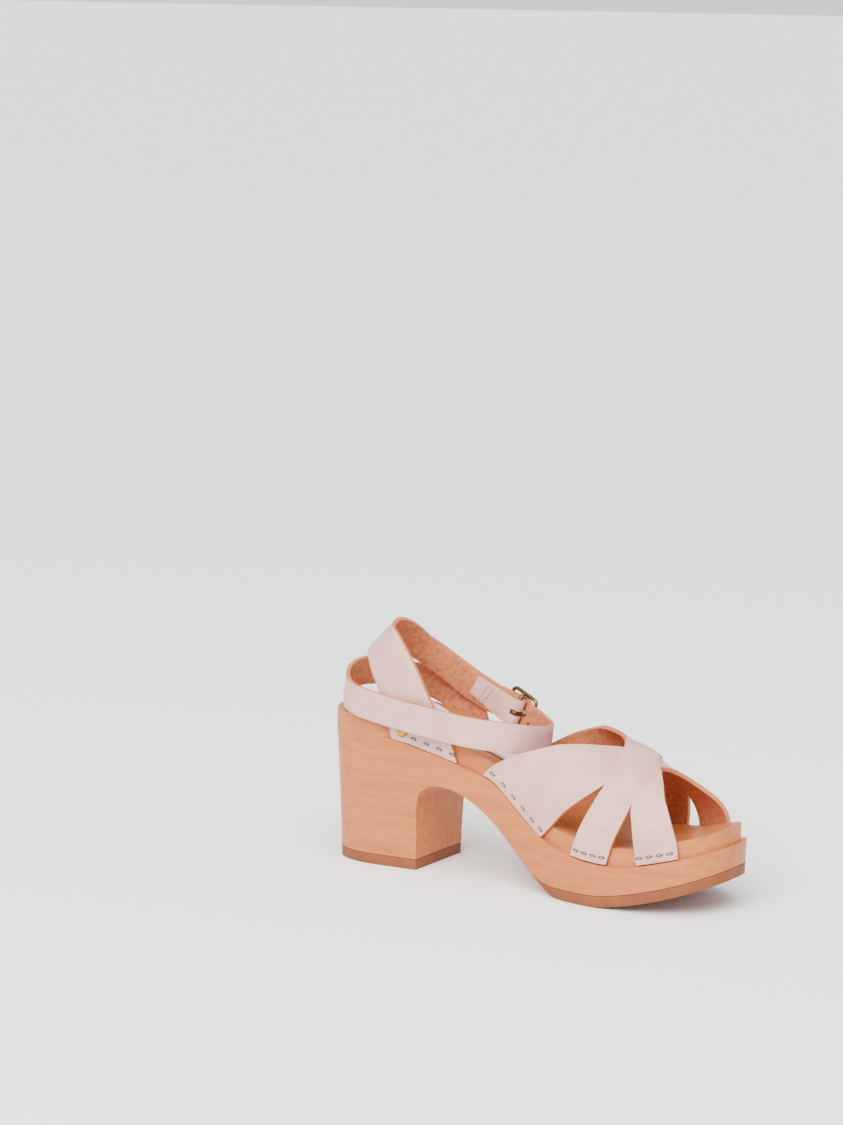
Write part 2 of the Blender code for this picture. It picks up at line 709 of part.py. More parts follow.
class Run:
    """A strap's centre line through rows of place, standing direction and width."""

    def __init__(self, rows):
        self.places = np.array([tuple(row[0]) for row in rows])
        self.stands = np.array([tuple(row[1]) for row in rows])
        self.widths = np.array([row[2] for row in rows])
        steps = np.linalg.norm(np.diff(self.places, axis=0), axis=1)
        self.lengths = np.concatenate([[0.0], np.cumsum(steps)])
        self.slopes = np.gradient(self.places, self.lengths, axis=0)

    def place(self, length):
        """The centre at a length along the strap."""
        k = min(max(int(np.searchsorted(self.lengths, length, side="right")) - 1, 0), len(self.lengths) - 2)
        step = self.lengths[k + 1] - self.lengths[k]
        t = (length - self.lengths[k]) / step
        start = self.places[k] * (1 + 2 * t) * (1 - t) ** 2 + self.slopes[k] * step * t * (1 - t) ** 2
        end = self.places[k + 1] * t * t * (3 - 2 * t) + self.slopes[k + 1] * step * t * t * (t - 1)
        return Vector(start + end)

    def frame(self, length):
        """The centre, direction and standing direction at a length along the strap."""
        reach = 0.0005
        before = max(length - reach, 0.0)
        after = min(length + reach, self.lengths[-1])
        run = (self.place(after) - self.place(before)).normalized()
        stand = Vector([float(np.interp(length, self.lengths, self.stands[:, k])) for k in range(3)])
        stand = (stand - run * stand.dot(run)).normalized()
        return self.place(length), run, stand

    def across(self, length, share):
        """The point at a length along the strap and a share, -0.5 to 0.5, of its width."""
        centre, _, stand = self.frame(length)
        return centre + stand * (share * smooth(self.lengths, self.widths, length))


def ankle_rows(table):
    """The rows of an ankle strap in metres."""
    rows = []
    for along, out, up, width, lean in table:
        x = HEEL_BACK + along * ANKLE_REACH
        rim = rim_height(min(x, HEEL_BACK + 0.68 * ANKLE_REACH), MEDIAL)
        place = Vector((x, out * ANKLE_SPREAD, rim + up * ANKLE_RISE))
        rows.append((place, Vector((math.sin(lean), 0.0, math.cos(lean))), width * STRAP_WIDTH))
    return rows


def hug(point, side):
    """Draws a point of a strap's base against the rebated side of the sole."""
    rim = rim_height(point.x, side)
    free = ease((point.z - rim) / 0.007)
    wall = side * (wall_y(point.x, side) + 2 * GAP + LEATHER / 2)
    return Vector((point.x, wall * (1 - free) + point.y * free, point.z))


def tab_row(run, shares, side, t):
    """A row of a strap's tab, from the sole's ledge at t 0 to the strap's first row at t 1."""
    start = HEEL_BACK + TAB_REAR * ANKLE_REACH
    end = HEEL_BACK + (TAB_FRONT if side == MEDIAL else OUTER_TAB_FRONT) * ANKLE_REACH
    _, arriving, _ = run.frame(0.0)
    leaving = Vector((-0.3, 0.0, 0.95))
    row = []
    for share in shares:
        x = start + (float(share) + 0.5) * (end - start)
        wall = side * (wall_y(x, side) + 2 * GAP + LEATHER / 2)
        low = Vector((x, wall, rim_height(x, side) - REBATE_WALL + 2 * GAP))
        high = run.across(0.0, float(share))
        span = (high - low).length
        point = low * ((1 + 2 * t) * (1 - t) ** 2) + leaving * (span * t * (1 - t) ** 2)
        point += high * (t * t * (3 - 2 * t)) + arriving * (span * t * t * (t - 1))
        row.append(hug(point, side))
    return row


def strap_sheet(name, run, lengths, side, point_end=0.0):
    """An ankle strap as an open sheet, hugging the sole at its base and pointed at its end if asked."""
    shares = np.linspace(-0.5, 0.5, 5)
    tab = np.linspace(0, 1, 8)[:-1]
    vertices = [point for t in tab for point in tab_row(run, shares, side, float(t))]
    total = run.lengths[-1]
    for length in lengths:
        narrowing = 1.0
        if point_end and total - length < point_end:
            narrowing = max((1 - (1 - (total - length) / point_end) ** 2) ** 0.5, 0.25)
        near_base = length < 0.3 * total
        for share in shares:
            point = run.across(float(length), float(share) * narrowing)
            vertices.append(hug(point, side) if near_base else point)
    return mesh_object(name, vertices, grid_faces(len(tab) + len(lengths), len(shares)))


def sheet_thickness(item):
    """Gives an open sheet its leather's thickness, half to each side."""
    modifier = item.modifiers.new("Leather", "SOLIDIFY")
    modifier.thickness = LEATHER
    modifier.offset = 0.0
    modifier.use_even_offset = True


def spaced(lengths, step):
    """Lengths about a step apart that keep each of the given ones."""
    places = [lengths[0]]
    for start, end in zip(lengths[:-1], lengths[1:]):
        count = max(int(round((end - start) / step)), 1)
        places += list(np.linspace(start, end, count + 1))[1:]
    return places


def buckle_seat():
    """Where the buckle's middle bar lies: the strap's run, then its centre, run, stand and outward."""
    run = Run(ankle_rows(BUCKLE_STRAP))
    bar, along, stand = run.frame(run.lengths[-1])
    outward = stand.cross(along).normalized()
    if outward.y < 0:
        outward = -outward
    return run, bar, along, stand, outward


def fold_radius():
    """The radius of the strap's middle where it is folded round the buckle's bar."""
    return WIRE / 2 + GAP + LEATHER / 2


def behind_bar(run, back, out):
    """A place of the strap a length behind the bar and moved outwards, with its standing direction."""
    centre, here, up = run.frame(run.lengths[-1] - back)
    normal = up.cross(here).normalized()
    normal = normal if normal.y > 0 else -normal
    return centre + normal * out, up


def make_buckle_strap():
    """The ankle strap that is folded round the buckle's bar and sewn back on its inner side."""
    run, bar, along, stand, outward = buckle_seat()
    radius = fold_radius()
    rows = ankle_rows(BUCKLE_STRAP)
    width = rows[-1][2]
    rows = rows[:-1]
    for back, out in ((FRAME_LENGTH / 2, 0.0), (FRAME_LENGTH / 4, radius / 2)):
        rows.append((*behind_bar(run, back, out), width))
    for angle in np.radians([0, 30, 60, 90, 120, 150, 180]):
        place = bar + outward * (radius * math.cos(angle)) + along * (radius * math.sin(angle))
        rows.append((place, stand, width))
    for back, narrow in ((0.35, 0.93), (0.65, 0.83), (1.0, 0.72)):
        centre, up = behind_bar(run, back * FOLD_LENGTH, -LEATHER - GAP)
        rows.append((centre + up * (width * (1 - narrow) / 2), up, width * narrow))
    folded = Run(rows)
    lengths = spaced(list(folded.lengths), 0.0045)
    strap = strap_sheet("ankle_strap_buckle_side", folded, lengths, MEDIAL)
    sheet_thickness(strap)
    slot_width = PRONG_WIRE + 4 * GAP
    slot = box_guide("prong_slot", bar + along * radius, along, stand, (0.008, slot_width, 3.2 * radius))
    boolean(strap, slot, "DIFFERENCE")
    return finish(strap, (0.75, 0.62, 0.58), 0.5)


def box_guide(name, centre, along, stand, size):
    """A cutting box with its length along a strap, its width across it and its depth through it."""
    through = along.cross(stand).normalized()
    vertices = []
    for a in (-0.5, 0.5):
        for b in (-0.5, 0.5):
            for c in (-0.5, 0.5):
                vertices.append(centre + along * (a * size[0]) + stand * (b * size[1]) + through * (c * size[2]))
    faces = [(0, 1, 3, 2), (4, 6, 7, 5), (0, 4, 5, 1), (2, 3, 7, 6), (0, 2, 6, 4), (1, 5, 7, 3)]
    return as_guide(mesh_object(name, vertices, faces))


def over_strap_bar():
    """How far outside the buckle's bar the tip strap's middle passes."""
    return fold_radius() + LEATHER + 3 * GAP


def frame_ends():
    """How far out the frame's rear and front bars lie, clear of the straps they hold."""
    clear = LEATHER / 2 + GAP + WIRE / 2
    tip_out = LEATHER + 2 * GAP
    return tip_out + clear + 0.0002, clear + 0.0002


def make_tip_strap():
    """The ankle strap that runs round the ankle, through the buckle and on under its own base."""
    run, bar, along, stand, outward = buckle_seat()
    rows = ankle_rows(TIP_STRAP)
    half = FRAME_LENGTH / 2
    over = over_strap_bar()
    for reach, out in ((half + 0.003, 0.0), (half - 0.001, 0.0), (half / 2, over * 0.56), (0.0005, over)):
        rows.append((bar + along * reach + outward * out, stand, STRAP_WIDTH))
    beside = LEATHER + 2 * GAP
    for back, out in ((half / 2, beside + fold_radius() * 0.55), (half, beside), (TIP_LENGTH, beside)):
        rows.append((*behind_bar(run, back, out), STRAP_WIDTH))
    whole = Run(rows)
    lengths = spaced(list(whole.lengths), 0.0055)
    lengths = lengths[:-1] + [lengths[-1] - 0.0035, lengths[-1] - 0.0015, lengths[-1]]
    strap = strap_sheet("ankle_strap_tip_side", whole, lengths, LATERAL, point_end=0.008)
    sheet_thickness(strap)
    middle = bar + along * (half / 2) + outward * (over * 0.56)
    hole = box_guide("prong_hole", middle, along, stand, (0.0066, PRONG_WIRE + 4 * GAP, 0.010))
    boolean(strap, hole, "DIFFERENCE")
    return finish(strap, (0.75, 0.62, 0.58), 0.5)


def tube(name, path, diameter, closed=False, sides=8):
    """A bent round wire through points, as a closed mesh."""
    count = len(path)
    vertices = []
    guide = None
    for k, place in enumerate(path):
        before = path[k - 1] if closed or k else path[0]
        after = path[(k + 1) % count] if closed or k < count - 1 else path[-1]
        run = (after - before).normalized()
        if guide is None:
            guide = run.orthogonal().normalized()
        guide = (guide - run * guide.dot(run)).normalized()
        other = run.cross(guide)
        for side in range(sides):
            angle = 2 * math.pi * side / sides
            vertices.append(place + (guide * math.cos(angle) + other * math.sin(angle)) * (diameter / 2))
    faces = grid_faces(count, sides, closed=True)
    if closed:
        first = vertices[:sides]
        last = vertices[-sides:]
        turn = min(range(sides), key=lambda k: (first[k] - last[0]).length)
        for k in range(sides):
            after = (k + 1) % sides
            ahead = (turn + k) % sides
            base = (count - 1) * sides
            faces.append((base + k, base + after, (ahead + 1) % sides, ahead))
    else:
        faces.append(tuple(range(sides)))
        faces.append(tuple((count - 1) * sides + k for k in range(sides)))
    return mesh_object(name, vertices, faces)


def make_buckle():
    """The buckle's rectangular frame with its recessed middle bar, and its prong."""
    _, bar, along, stand, outward = buckle_seat()
    rear_out, front_out = frame_ends()
    reach = FRAME_LENGTH / 2
    half = STRAP_WIDTH / 2 + FRAME_ROOM + WIRE / 2
    corner = 0.0025
    path = []
    for run_sign, side in ((-1, -1), (1, -1), (1, 1), (-1, 1)):
        for angle in np.radians([0, 30, 60, 90]):
            turn = angle if run_sign != side else math.pi / 2 - angle
            run = run_sign * (reach - corner * (1 - math.sin(turn)))
            across = side * (half - corner * (1 - math.cos(turn)))
            out = rear_out + (front_out - rear_out) * (run + reach) / (2 * reach)
            path.append(bar + along * run + outward * out + stand * across)
    frame = tube("buckle_frame", path, WIRE, closed=True)
    middle = (rear_out + front_out) / 2
    legs = []
    for side in (-1, 1):
        places = [(half, middle), (half, WIRE / 2), (half - WIRE / 2, 0.0)]
        places = places if side < 0 else places[::-1]
        legs += [bar + stand * (side * across) + outward * out for across, out in places]
    boolean(frame, as_guide(tube("middle_bar", legs, WIRE * 0.94)), "UNION")
    finish(frame, (0.30, 0.22, 0.12), 0.35, 1.0)

    ring = WIRE / 2 + GAP + PRONG_WIRE / 2
    prong = []
    for angle in np.radians(np.linspace(190, 50, 8)):
        prong.append(bar + along * (ring * math.sin(angle)) + outward * (ring * math.cos(angle)))
    rest = front_out + WIRE / 2 + GAP + PRONG_WIRE / 2
    prong.append(bar + along * (reach * 0.55) + outward * (rest * 0.68))
    prong.append(bar + along * (reach - 0.001) + outward * rest)
    prong.append(bar + along * (reach + 0.0022) + outward * rest)
    finish(tube("buckle_prong", prong, PRONG_WIRE), (0.34, 0.25, 0.14), 0.35, 1.0)


def make_stud(name, side, over_ledge):
    """A plain domed stud on the rear of a strap's tab, a height over the rebate's ledge."""
    x = x_at(0.218)
    height = rim_height(x, side) - REBATE_WALL + over_ledge
    face = wall_y(x, side) + LEATHER + 5 * GAP
    profile = ((1.0, 0.0), (1.0, 0.22), (0.86, 0.38), (0.62, 0.74), (0.32, 0.95))
    sides = 16
    vertices = [(x, side * face, height)]
    for across, out in profile:
        for k in range(sides):
            angle = 2 * math.pi * k / sides
            radius = across * STUD_DIAMETER / 2
            place = (x + radius * math.cos(angle), side * (face + out * STUD_HEIGHT))
            vertices.append((*place, height + radius * math.sin(angle)))
    vertices.append((x, side * (face + STUD_HEIGHT), height))
    faces = [(0, 1 + (k + 1) % sides, 1 + k) for k in range(sides)]
    faces += [tuple(1 + k for k in face) for face in grid_faces(len(profile), sides, closed=True)]
    last = 1 + (len(profile) - 1) * sides
    faces += [(last + k, last + (k + 1) % sides, len(vertices) - 1) for k in range(sides)]
    return finish(mesh_object(name, vertices, faces), (0.80, 0.55, 0.20), 0.25, 1.0)


def main():
    """Clears the scene and makes every piece."""
    for item in list(bpy.data.objects):
        bpy.data.objects.remove(item)
    make_sole()
    make_heel_pad()
    make_vamp()
    make_buckle_strap()
    make_tip_strap()
    make_buckle()
    make_stud("stud_medial", MEDIAL, 0.0062)
    make_stud("stud_lateral", LATERAL, 0.0042)


main()
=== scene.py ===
"""Looks of the wooden sole sandal, laid out as an add-on: one operator makes each piece or group.

The dressed pieces stand for the CAD nodes they are named after, in metres, +X to the toe and +Z up.
"""

import math

import bmesh
import bpy
from mathutils import Matrix, Vector
from mathutils.bvhtree import BVHTree


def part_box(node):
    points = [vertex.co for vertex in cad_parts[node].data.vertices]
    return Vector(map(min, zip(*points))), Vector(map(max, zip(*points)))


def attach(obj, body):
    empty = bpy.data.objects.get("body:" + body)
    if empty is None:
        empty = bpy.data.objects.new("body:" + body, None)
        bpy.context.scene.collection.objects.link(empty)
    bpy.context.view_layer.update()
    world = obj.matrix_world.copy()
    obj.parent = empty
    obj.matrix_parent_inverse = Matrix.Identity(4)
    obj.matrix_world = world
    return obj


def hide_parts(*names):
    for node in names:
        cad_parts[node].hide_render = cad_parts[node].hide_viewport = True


bl_info = {
    "name": "Wooden Sole Sandal",
    "version": (1, 0, 0),
    "blender": (4, 5, 0),
    "location": "View3D > Sidebar > Sandal",
    "description": "Dresses the solids of a wooden sole sandal",
    "category": "Object",
}

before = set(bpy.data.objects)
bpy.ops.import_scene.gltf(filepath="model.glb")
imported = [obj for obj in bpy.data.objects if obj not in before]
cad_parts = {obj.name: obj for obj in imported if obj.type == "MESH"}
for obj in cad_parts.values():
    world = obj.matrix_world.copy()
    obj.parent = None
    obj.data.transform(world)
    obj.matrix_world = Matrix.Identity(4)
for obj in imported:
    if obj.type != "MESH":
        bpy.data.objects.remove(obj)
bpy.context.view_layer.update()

# Depth of the materials' bump, and the noise of every finish
BUMP_DEPTH = 0.0004
NOISE_DETAIL = 5.0

# Cleaning of the solids' loose triangles: distance in metres, angles in degrees
MERGE_DISTANCE = 0.000002
QUAD_FACE_ANGLE = 20
QUAD_SHAPE_ANGLE = 60
SHARP_ANGLE = 50
BUCKLE_SHARP_ANGLE = 60
PINHOLE_SHARP_ANGLE = 40

# Telling a strap's sides apart: where a smooth region ends, and how squarely a side faces out or in
GRAIN_SIDE, FLESH_SIDE, CUT_EDGE = range(3)
REGION_ANGLE = 42
SIDE_SHARE = 0.45
VAMP_MIDDLE_HEIGHT = 0.040
ANKLE_MIDDLE = (0.032, -0.002)

# A dome fills this share of its solid
STUD_SHARE = 0.98

# Rounding of the small parts' edges, in metres
RUBBER_EDGE = 0.0003
PAD_EDGE = 0.0004

# The rubber's dark specks against its colour
RUBBER_SHADE = 0.8

# Search for a strap's lower edge from below, from the shoe's middle outwards, in metres
EDGE_SEARCH_START = 0.018
EDGE_SEARCH_STEP = 0.0004
EDGE_SEARCH_STEPS = 70
BELOW_FLOOR = -0.01
BESIDE_SHOE = 0.09
SLOPE_STEP = 0.001

# Staple crown against its dent's dark oval of painted shade, as shares of the plan size and of the height; a
# dent's height over its width
CROWN_SHARE = 0.72
CROWN_RISE = 1.3
DENT_RISE = 0.5

# How far a pinhole's ends stand out of the leather
PINHOLE_STAND = 0.0002

# Camera that matches the photograph: angles in degrees, distance in metres
CAMERA_TURN = 29.9
CAMERA_PITCH = 8.73
CAMERA_ROLL = 1.0
CAMERA_DISTANCE = 2.0
FOCAL_PIXELS = 3674.0
IMAGE_SIZE = (843, 1125)
ORIGIN_PIXEL = (391.0, 854.3)

CAMERA_SENSOR = 36.0
CAMERA_REACH = (0.05, 400.0)

# Stage: places in metres, the lamp's power in watts, the sky's strength and its spread in degrees
STAGE_MIDDLE = (0.09, 0.0, 0.05)
KEY_PLACE = (0.25, -1.75, 1.15)
KEY_POWER = 48.0
KEY_SIZE = 0.9
SKY_PLACE = (0.55, -0.9, 1.6)
SKY_STRENGTH = 3.4
SKY_SPREAD = 50
WORLD_STRENGTH = 1.2
FLOOR_DROP = 0.0001
FLOOR_COLOUR = (0.96, 0.96, 0.955)

# Rows of staples along the straps' bases
STAPLE_ROWS = (
    # piece, side, rear_x, front_x, count
    ("vamp_leather", -1, 0.0755, 0.1085, 6),
    ("vamp_leather", -1, 0.1340, 0.1505, 4),
    ("vamp_leather", -1, 0.1725, 0.1885, 4),
    ("vamp_leather", 1, 0.0765, 0.1085, 6),
    ("vamp_leather", 1, 0.1345, 0.1555, 4),
    ("vamp_leather", 1, 0.1705, 0.1855, 3),
    ("upper_ankle_leather", -1, 0.0290, 0.0520, 4),
    ("lower_ankle_leather", 1, 0.0280, 0.03575, 2),
)

# Seam rows across the buckle flap, as (x, z) of their two ends
SEAMS = (
    ((0.0450, 0.0940), (0.0385, 0.0850)),
    ((0.0476, 0.0920), (0.0412, 0.0832)),
)

# Places near the pinholes in the lower ankle strap
PINHOLES = (
    (0.0705, 0.0235, 0.0765),
    (0.0765, 0.0212, 0.0745),
    (0.0822, 0.0178, 0.0728),
    (0.0877, 0.0128, 0.0721),
)


def size_of(name, default, highest, description):
    """A length that a user may change, in metres."""
    return bpy.props.FloatProperty(
        name=name, description=description, default=default, min=0.0001, max=highest,
        unit="LENGTH", precision=5,
    )


def colour_of(name, default, description):
    """A linear colour that a user may change."""
    return bpy.props.FloatVectorProperty(
        name=name, description=description, default=default, min=0.0, max=1.0, size=3, subtype="COLOR"
    )


class SandalSettings(bpy.types.PropertyGroup):
    """Sizes of the small work that the scene adds, and the colours of every finish."""

    wood_edge: size_of("Wood edge", 0.0007, 0.003, "Rounding of the carved sole's edges")
    leather_edge: size_of("Leather edge", 0.0004, 0.001, "Rounding of the straps' cut edges")
    staple_length: size_of("Staple length", 0.0040, 0.008, "Length of a staple's dent in the leather")
    staple_width: size_of("Staple width", 0.0017, 0.003, "Width of a staple's dent in the leather")
    staple_height: size_of("Staple height", 0.0035, 0.006, "Height of the staples above the lower edges")
    stitch_length: size_of("Stitch length", 0.0013, 0.004, "Length of one stitch across the buckle flap")
    stitch_wire: size_of("Thread", 0.0006, 0.002, "Thickness of the thread")
    pinhole: size_of("Pinhole", 0.0017, 0.004, "Diameter of the pinholes in the lower ankle strap")
    floor_reach: size_of("Floor reach", 300.0, 400.0, "Length of each side of the floor")
    stitches: bpy.props.IntProperty(
        name="Stitches", description="Stitches in one row across the buckle flap", default=7, min=2, max=20
    )
    wood_light: colour_of("Wood, light", (0.50, 0.156, 0.044), "The alder between its grain lines")
    wood_dark: colour_of("Wood, dark", (0.39, 0.116, 0.032), "The alder's grain lines")
    rubber: colour_of("Rubber", (0.22, 0.064, 0.020), "The rubbers under the forefoot and the heel")
    pad: colour_of("Pad", (0.86, 0.86, 0.85), "The pad under the heel")
    leather_pale: colour_of("Leather, pale", (0.66, 0.385, 0.325), "The leather's grain side")
    leather_warm: colour_of("Leather, warm", (0.56, 0.315, 0.258), "The clouds on the leather's grain side")
    flesh_light: colour_of("Flesh side, light", (0.50, 0.165, 0.075), "The nap on the leather's flesh side")
    flesh_dark: colour_of("Flesh side, dark", (0.36, 0.108, 0.046), "The fibres on the leather's flesh side")
    edge_tan: colour_of("Cut edge", (0.50, 0.165, 0.078), "The leather's raw cut edge")
    brass: colour_of("Buckle brass", (0.17, 0.11, 0.045), "The antique brass of the buckle")
    gold: colour_of("Stud gold", (0.56, 0.25, 0.025), "The bright finish of the studs")
    staple_steel: colour_of("Staple", (0.30, 0.24, 0.23), "The staples' crowns")
    staple_shade: colour_of("Staple dent", (0.05, 0.038, 0.038), "The shade around each staple's crown")
    thread: colour_of("Thread colour", (0.20, 0.115, 0.085), "The thread across the buckle flap")
    hole_shade: colour_of("Pinhole shade", (0.05, 0.02, 0.012), "The dark inside of the pinholes")


def settings():
    """The scene's sizes and colours."""
    return bpy.context.scene.sandal


def clear_selection():
    """Leaves nothing selected or active, in object mode."""
    if bpy.context.mode != "OBJECT":
        bpy.ops.object.mode_set(mode="OBJECT")
    bpy.ops.object.select_all(action="DESELECT")
    bpy.context.view_layer.objects.active = None


def pick(item):
    """Makes one object the selected and active one."""
    clear_selection()
    item.select_set(True)
    bpy.context.view_layer.objects.active = item


def apply_modifiers(item):
    """Applies every modifier of the object."""
    pick(item)
    for modifier in list(item.modifiers):
        bpy.ops.object.modifier_apply(modifier=modifier.name)


def shader_of(name, colour, roughness, metallic=0.0, specular=0.5):
    """A new material with its node tree and its Principled shader."""
    material = bpy.data.materials.new(name)
    material.use_nodes = True
    shader = material.node_tree.nodes["Principled BSDF"]
    shader.inputs["Base Color"].default_value = (*colour, 1.0)
    shader.inputs["Roughness"].default_value = roughness
    shader.inputs["Metallic"].default_value = metallic
    shader.inputs["Specular IOR Level"].default_value = specular
    return material, material.node_tree, shader


def mottle(tree, shader, scale, dark, light, stretch=(1.0, 1.0, 1.0), low=0.35, high=0.65):
    """Feeds the base colour with noise between two colours and returns the noise."""
    place = tree.nodes.new("ShaderNodeTexCoord")
    mapping = tree.nodes.new("ShaderNodeMapping")
    mapping.inputs["Scale"].default_value = stretch
    noise = tree.nodes.new("ShaderNodeTexNoise")
    noise.inputs["Scale"].default_value = scale
    noise.inputs["Detail"].default_value = NOISE_DETAIL
    ramp = tree.nodes.new("ShaderNodeValToRGB")
    ramp.color_ramp.elements[0].position = low
    ramp.color_ramp.elements[0].color = (*dark, 1.0)
    ramp.color_ramp.elements[1].position = high
    ramp.color_ramp.elements[1].color = (*light, 1.0)
    tree.links.new(place.outputs["Object"], mapping.inputs["Vector"])
    tree.links.new(mapping.outputs["Vector"], noise.inputs["Vector"])
    tree.links.new(noise.outputs["Fac"], ramp.inputs["Fac"])
    tree.links.new(ramp.outputs["Color"], shader.inputs["Base Color"])
    return noise


def relief(tree, shader, height, strength, distance):
    """Adds a small bump from a height output."""
    bump = tree.nodes.new("ShaderNodeBump")
    bump.inputs["Strength"].default_value = strength
    bump.inputs["Distance"].default_value = distance
    tree.links.new(height, bump.inputs["Height"])
    tree.links.new(bump.outputs["Normal"], shader.inputs["Normal"])


def noisy_material(name, dark, light, roughness, scale, bump, specular=0.5, **pattern):
    """A material whose colour varies softly, with a fine bump."""
    material, tree, shader = shader_of(name, light, roughness, specular=specular)
    noise = mottle(tree, shader, scale, dark, light, **pattern)
    relief(tree, shader, noise.outputs["Fac"], bump, BUMP_DEPTH)
    return material


def plain_material(name, colour, roughness, metallic=0.0):
    """A material of one colour."""
    return shader_of(name, colour, roughness, metallic)[0]


def strap_materials():
    """The straps' grain side, flesh side and cut edge, shared by every strap."""
    if "leather_grain" not in bpy.data.materials:
        looks = settings()
        noisy_material(
            "leather_grain", looks.leather_warm, looks.leather_pale, roughness=0.44, scale=55.0, bump=0.1
        )
        noisy_material(
            "leather_flesh", looks.flesh_dark, looks.flesh_light,
            roughness=0.85, scale=420.0, bump=0.35, specular=0.15,
        )
        noisy_material(
            "leather_edge", looks.flesh_light, looks.edge_tan,
            roughness=0.8, scale=260.0, bump=0.3, specular=0.2,
        )
    return [bpy.data.materials[name] for name in ("leather_grain", "leather_flesh", "leather_edge")]


def merged_copy(node, name):
    """A copy of a CAD node with its doubled vertices merged and no stored normals."""
    item = bpy.data.objects.new(name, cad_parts[node].data.copy())
    bpy.context.scene.collection.objects.link(item)
    item.data.materials.clear()
    pick(item)
    bpy.ops.mesh.customdata_custom_splitnormals_clear()
    bpy.ops.object.mode_set(mode="EDIT")
    bpy.ops.mesh.select_all(action="SELECT")
    bpy.ops.mesh.remove_doubles(threshold=MERGE_DISTANCE)
    bpy.ops.mesh.tris_convert_to_quads(
        face_threshold=math.radians(QUAD_FACE_ANGLE), shape_threshold=math.radians(QUAD_SHAPE_ANGLE)
    )
    bpy.ops.object.mode_set(mode="OBJECT")
    return item


def soften(item, width, segments=2, angle=40.0, material=-1):
    """Rounds the sharp edges and shades the rest smooth."""
    bevel = item.modifiers.new("Edge", "BEVEL")
    bevel.width = width
    bevel.segments = segments
    bevel.limit_method = "ANGLE"
    bevel.angle_limit = math.radians(angle)
    bevel.material = material
    bevel.use_clamp_overlap = True
    apply_modifiers(item)
    item.data.shade_smooth()
    item.data.set_sharp_from_angle(angle=math.radians(SHARP_ANGLE))


def seat(item, slot=None, *nodes):
    """Puts a piece on the part and hides the CAD nodes it replaces, if it has them; the material slot is not
    used.
    """
    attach(item, "root")
    if nodes:
        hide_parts(*nodes)


def regions(item, angle):
    """The faces of a mesh in smooth regions, parted at edges sharper than an angle."""
    shape = bmesh.new()
    shape.from_mesh(item.data)
    shape.faces.ensure_lookup_table()
    found = []
    seen = set()
    for first in shape.faces:
        if first.index in seen:
            continue
        seen.add(first.index)
        stack = [first]
        members = []
        while stack:
            face = stack.pop()
            members.append(face.index)
            for edge in face.edges:
                if len(edge.link_faces) != 2 or edge.calc_face_angle(0.0) > angle:
                    continue
                for other in edge.link_faces:
                    if other.index not in seen:
                        seen.add(other.index)
                        stack.append(other)
        found.append(members)
    shape.free()
    return found


def part_sides(item, centre_of):
    """Gives a strap's regions the grain, flesh or edge material, by how they face from a centre."""
    for material in strap_materials():
        item.data.materials.append(material)
    faces = item.data.polygons
    for members in regions(item, math.radians(REGION_ANGLE)):
        area = sum(faces[k].area for k in members)
        facing = 0.0
        for k in members:
            out = faces[k].center - centre_of(faces[k].center)
            facing += faces[k].normal.dot(out.normalized()) * faces[k].area
        share = facing / area if area else 0.0
        kind = GRAIN_SIDE if share > SIDE_SHARE else FLESH_SIDE if share < -SIDE_SHARE else CUT_EDGE
        for k in members:
            faces[k].material_index = kind


def vamp_centre(point):
    """The middle of the foot under the vamp at a point's place along the shoe."""
    return Vector((point.x, 0.0, VAMP_MIDDLE_HEIGHT))


def ankle_centre(point):
    """The middle of the ankle at a point's height."""
    return Vector((*ANKLE_MIDDLE, point.z))


class SANDAL_OT_wood(bpy.types.Operator):
    """Makes the carved wooden sole with its soft edges and grain"""

    bl_idname = "sandal.wood"
    bl_label = "Wooden sole"

    def execute(self, context):
        looks = settings()
        item = merged_copy("wood_sole", "alder_sole")
        item.data.materials.append(
            noisy_material(
                "alder", looks.wood_dark, looks.wood_light,
                roughness=0.45, scale=30.0, bump=0.06, specular=0.22,
                stretch=(0.5, 9.0, 10.0), low=0.25, high=0.6,
            )
        )
        soften(item, looks.wood_edge, segments=3)
        seat(item, "sole_wood", "wood_sole")
        return {"FINISHED"}


class SANDAL_OT_rubbers(bpy.types.Operator):
    """Makes the forefoot rubber and the heel's rubber top piece"""

    bl_idname = "sandal.rubbers"
    bl_label = "Rubbers"

    def execute(self, context):
        light = settings().rubber
        dark = [share * RUBBER_SHADE for share in light]
        material = noisy_material(
            "rubber_brown", dark, light, roughness=0.62, scale=90.0, bump=0.1, specular=0.25
        )
        for node, name in (("forefoot_outsole", "rubber_forefoot"), ("heel_lift", "rubber_heel")):
            item = merged_copy(node, name)
            item.data.materials.append(material)
            soften(item, RUBBER_EDGE)
            seat(item, "sole_rubber", node)
        return {"FINISHED"}


class SANDAL_OT_pad(bpy.types.Operator):
    """Makes the white pad on the heel of the footbed"""

    bl_idname = "sandal.pad"
    bl_label = "Heel pad"

    def execute(self, context):
        item = merged_copy("heel_pad", "white_pad")
        item.data.materials.append(plain_material("pad_satin", settings().pad, roughness=0.45))
        soften(item, PAD_EDGE)
        seat(item, "pad_white", "heel_pad")
        return {"FINISHED"}


class SANDAL_OT_vamp(bpy.types.Operator):
    """Makes the crossing vamp straps with their pale grain side, tan flesh side and edges"""

    bl_idname = "sandal.vamp"
    bl_label = "Vamp straps"

    def execute(self, context):
        item = merged_copy("vamp_straps", "vamp_leather")
        part_sides(item, vamp_centre)
        soften(item, settings().leather_edge, angle=50.0, material=CUT_EDGE)
        seat(item, "strap_leather", "vamp_straps")
        return {"FINISHED"}


